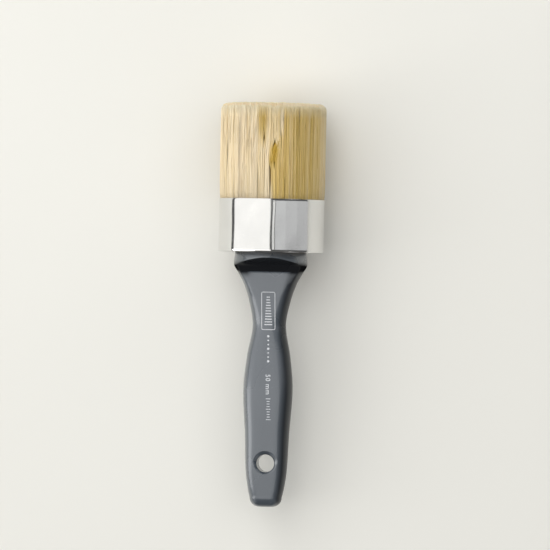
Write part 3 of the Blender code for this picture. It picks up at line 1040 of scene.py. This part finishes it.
def tip_hairs(rng, inner, outer, middle, width):
    """Short tips that fill the trimmed end of a lock, about a hair's pitch apart."""
    pitch = TIP_PITCH
    rows = max(1, int(round((outer - inner) / pitch)))
    radius, angle = [], []
    for row in range(rows):
        r = inner + (outer - inner) * (row + 0.5) / rows
        count = max(1, int(round(width * r / pitch)))
        offset = rng.uniform(0, 1)
        for k in range(count):
            radius.append(r)
            angle.append(middle + (width + 0.35 * MM / r) * (((k + offset) % count) / count - 0.5))
    radius = np.array(radius) + rng.uniform(-0.3, 0.3, len(radius)) * pitch
    angle = np.array(angle) + rng.uniform(-0.3, 0.3, len(radius)) * pitch / np.maximum(radius, pitch)
    hairs = len(radius)
    x, z = radius * np.cos(angle), radius * np.sin(angle)
    clumps = max(4, hairs // 9)
    pick = rng.permutation(hairs)[:clumps]
    own = np.argmin((x[:, None] - x[pick][None]) ** 2 + (z[:, None] - z[pick][None]) ** 2, axis=1)
    pull = rng.uniform(-0.05, 0.14, clumps)[own]
    tip_x, tip_z = x + (x[pick][own] - x) * pull, z + (z[pick][own] - z) * pull
    tip = MOUTH_Y + trimmed_height(radius) - 0.1 * MM
    tip = tip + rng.normal(0, 0.10 * MM, clumps)[own] + rng.normal(0, 0.13 * MM, hairs)
    base = TIP_Y - 5.5 * MM
    t = np.array([0.0, 0.6, 1.0])[None]
    across = x[:, None] + (tip_x - x)[:, None] * t**2
    up = AXIS_Z + z[:, None] + (tip_z - z)[:, None] * t**2
    paths = np.stack([across, base + (tip - base)[:, None] * t, up], axis=2)
    thick = 0.235 * MM * rng.uniform(0.85, 1.12, (hairs, 1)) * np.array([1.0, 0.95, 0.78])[None]
    tone = 0.08 + 0.10 * np.sin(0.6 * x / MM) * np.cos(0.5 * z / MM) + rng.normal(0, 0.06, clumps)[own]
    # Painted shade: each tip is a little darker low down, between its neighbours, and lighter at its end.
    tints = tint_of(tone + own_shift(rng, hairs))[:, None] * np.array([0.9, 1.0, 1.05])[None, :, None]
    return hairs_mesh(paths, thick, tints)


def make_lock(name, number, count, first_seed, material):
    outer_ring = name == "outer_lock"
    rng = np.random.default_rng(first_seed + number)
    width = 2 * math.pi / count
    middle = (number + 0.5) * width
    node = f"{name}_{number + 1:02d}"
    inner = CORE_R + LOCK_GAP + (INNER_REACH if outer_ring else 0.0)
    outer = TUFT_R if outer_ring else CORE_R + INNER_REACH
    # how far inside the lock's outer face, in millimetres, its bed, its tips and its walls end
    bed_in, tips_in, walls_in = (0.9, 0.6, 1.0) if outer_ring else (0.1, -0.1, 0.0)
    parts = [lock_bed(rng, inner, outer - bed_in * MM, middle, width)]
    if outer_ring:
        parts.append(outer_hairs(rng, middle, width))
    parts.append(tip_hairs(rng, inner - 0.15 * MM, outer - tips_in * MM, middle, width))
    parts.append(wall_hairs(rng, inner, outer - walls_in * MM, middle, width, not outer_ring))
    if outer_ring and number == CURL_LOCK:
        parts.append(curl_hairs(rng))
    obj = join_parts(f"{node}_hairs", parts, material)
    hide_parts(node)
    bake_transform(obj)


def make_core(material):
    """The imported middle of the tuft, and the roots that show at the ferrule's mouth."""
    rng = np.random.default_rng(CORE_SEED)
    rings = []
    rows, sides = 6, 48
    for k in range(rows):
        y = ROOT_Y + (TIP_Y - BED_DROP - ROOT_Y) * k / (rows - 1)
        rings += [on_axis(CORE_R, a, y) for a in around(sides)]
    # Painted shade: the core's bed, seen deep between the tips, is dark straw.
    bed = (np.array(rings), skin_faces(rows, sides), np.tile(STRAW * 0.45, (len(rings), 1)))
    parts = [bed, tip_hairs(rng, 0.0, CORE_R + 0.1 * MM, 0.0, 2 * math.pi)]
    core = join_parts("bristle_core_hairs", parts, material)
    dressed(core, material, stands_for=("bristle_core",))
    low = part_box("bristle_roots")[0].y
    radius = FERRULE_R - WALL - 0.2 * MM
    roots = turned("bristle_root_bed", [(radius, low), (radius, ROOT_Y - 0.1 * MM)], sides=96)
    # Painted shade: the roots inside the ferrule's mouth are dark straw.
    paint(roots.data, "tint", STRAW * 0.4)
    dressed(roots, material, stands_for=("bristle_roots",))


def make_tuft(material):
    for number in range(OUTER_LOCKS):
        make_lock("outer_lock", number, OUTER_LOCKS, OUTER_SEED, material)
    for number in range(INNER_LOCKS):
        make_lock("inner_lock", number, INNER_LOCKS, INNER_SEED, material)
    make_core(material)


# ---- stage

CAMERA_DISTANCE = 2.6
VIEW_WIDTH = 0.2648
SENSOR = 36.0
CAMERA_TILT = math.radians(5.5)
CAMERA_ROLL = math.radians(1.25)
FLOOR_HALF = 4.0
CORNER_LAMP = 0.9
WARM, NEUTRAL, COOL = (1.0, 0.99, 0.97), (1.0, 1.0, 0.99), (0.97, 0.98, 1.0)
# Softboxes: edges in degrees from the vertical, ends along the brush, radiance and colour
SOFTBOXES = (
    ("key_softbox", -82, 2.5, -0.02, 2.0, 1.12, WARM),
    ("side_softbox", -86, -30, -0.47, -0.02, 2.6, WARM),
    ("top_softbox", -30, 4.4, -0.42, -0.02, 1.28, WARM),
    ("strip_softbox", 7.3, 11.4, 0.015, 0.3, 0.95, NEUTRAL),
    ("fill_softbox_1", 13.0, 36, 0.015, 0.22, 0.62, COOL),
    ("fill_softbox_2", 36, 62, 0.015, 0.22, 0.55, COOL),
    ("fill_softbox_3", 62, 90, 0.015, 0.22, 0.49, COOL),
)


def make_camera():
    data = bpy.data.cameras.new("photo_camera")
    data.sensor_width = SENSOR
    data.lens = SENSOR * CAMERA_DISTANCE / VIEW_WIDTH
    camera = new_object("photo_camera", data)
    back = Vector((math.sin(CAMERA_TILT), 0, math.cos(CAMERA_TILT)))
    up = Vector((-math.sin(CAMERA_ROLL) * math.cos(CAMERA_TILT), math.cos(CAMERA_ROLL), 0)).normalized()
    right = up.cross(back).normalized()
    up = back.cross(right)
    target = Vector((2.2 * MM, 14.6 * MM, AXIS_Z))
    axes = Matrix((right, up, back)).transposed().to_4x4()
    camera.matrix_world = Matrix.Translation(target + back * CAMERA_DISTANCE) @ axes
    bpy.context.scene.camera = camera


def area_lamp(name, width, height, radiance, colour=(1, 1, 1)):
    """A lamp that the camera doesn't see, with its power worked out from its size and radiance."""
    data = bpy.data.lights.new(name, "AREA")
    data.shape = "RECTANGLE"
    data.size, data.size_y = width, height
    data.energy = radiance * math.pi * data.size * data.size_y
    data.color = colour
    lamp = new_object(name, data)
    lamp.visible_camera = False
    return lamp


def softbox(name, low_deg, high_deg, y_low, y_high, radiance, colour, distance=1.6):
    """A flat lamp from one edge up to another, each at an angle overhead, facing the brush."""
    low, high = overhead(low_deg, distance), overhead(high_deg, distance)
    middle = (low + high) / 2 + Vector((0, (y_low + y_high) / 2, 0))
    rise = (high - low).normalized()
    lamp = area_lamp(name, (high - low).length, y_high - y_low, radiance, colour)
    across = Vector((0, 1, 0))
    normal = rise.cross(across)
    if normal.dot(-middle) > 0:
        normal, across = -normal, -across
    lamp.matrix_world = Matrix.Translation(middle) @ Matrix((rise, across, normal)).transposed().to_4x4()
    return lamp


def corner_softbox(name, place, radiance):
    """A square lamp off to one corner of the stage, which the polished ferrule mirrors."""
    lamp = area_lamp(name, CORNER_LAMP, CORNER_LAMP, radiance)
    place = Vector(place)
    lamp.matrix_world = Matrix.Translation(place) @ place.to_track_quat("Z", "Y").to_matrix().to_4x4()
    return lamp


def overhead(from_vertical_deg, distance):
    """The point seen from the brush at an angle from the vertical, to the right when positive."""
    angle = math.radians(from_vertical_deg)
    return Vector((distance * math.sin(angle), 0, distance * math.cos(angle)))


def make_stage():
    corners = [(sx * FLOOR_HALF, sy * FLOOR_HALF, 0) for sx, sy in ((-1, -1), (1, -1), (1, 1), (-1, 1))]
    floor = mesh_object("studio_floor", corners, [(0, 1, 2, 3)], sharp_deg=0)
    floor.data.materials.append(paper_floor())
    for row in SOFTBOXES:
        softbox(*row)
    corner_softbox("front_left_softbox", (-1.15, -1.05, 0.75), 0.75)
    corner_softbox("front_right_softbox", (1.15, -1.05, 0.75), 0.5)
    corner_softbox("back_right_softbox", (1.1, 1.2, 0.7), 0.6)
    tip = corner_softbox("tip_softbox", (-0.35, 1.45, 0.75), 2.0)
    tip.visible_glossy = False
    lift = softbox("floor_lift", -20, 46, -0.8, 1.2, 1.02, (1.0, 0.99, 0.975), distance=1.9)
    lift.visible_glossy = False
    world = bpy.data.worlds.new("studio_world")
    world.use_nodes = True
    nodes, link = world.node_tree.nodes, world.node_tree.links.new
    room, backdrop = nodes["Background"], nodes.new("ShaderNodeBackground")
    room.inputs["Color"].default_value = (0.12, 0.12, 0.12, 1)
    backdrop.inputs["Color"].default_value = (0.80, 0.78, 0.71, 1)
    choice = nodes.new("ShaderNodeMixShader")
    link(nodes.new("ShaderNodeLightPath").outputs["Is Camera Ray"], choice.inputs["Fac"])
    link(room.outputs["Background"], choice.inputs[1])
    link(backdrop.outputs["Background"], choice.inputs[2])
    link(choice.outputs["Shader"], nodes["World Output"].inputs["Surface"])
    bpy.context.scene.world = world
    bpy.context.scene.view_settings.view_transform = "Standard"


def main():
    make_camera()
    make_stage()
    make_handle(lacquer())
    make_print(ink())
    make_ferrule(nickel())
    make_brads(brad_steel())
    make_plug(bare_wood())
    make_tuft(bristle())
    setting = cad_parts["epoxy_setting"]
    setting.data.materials[0] = epoxy()


main()
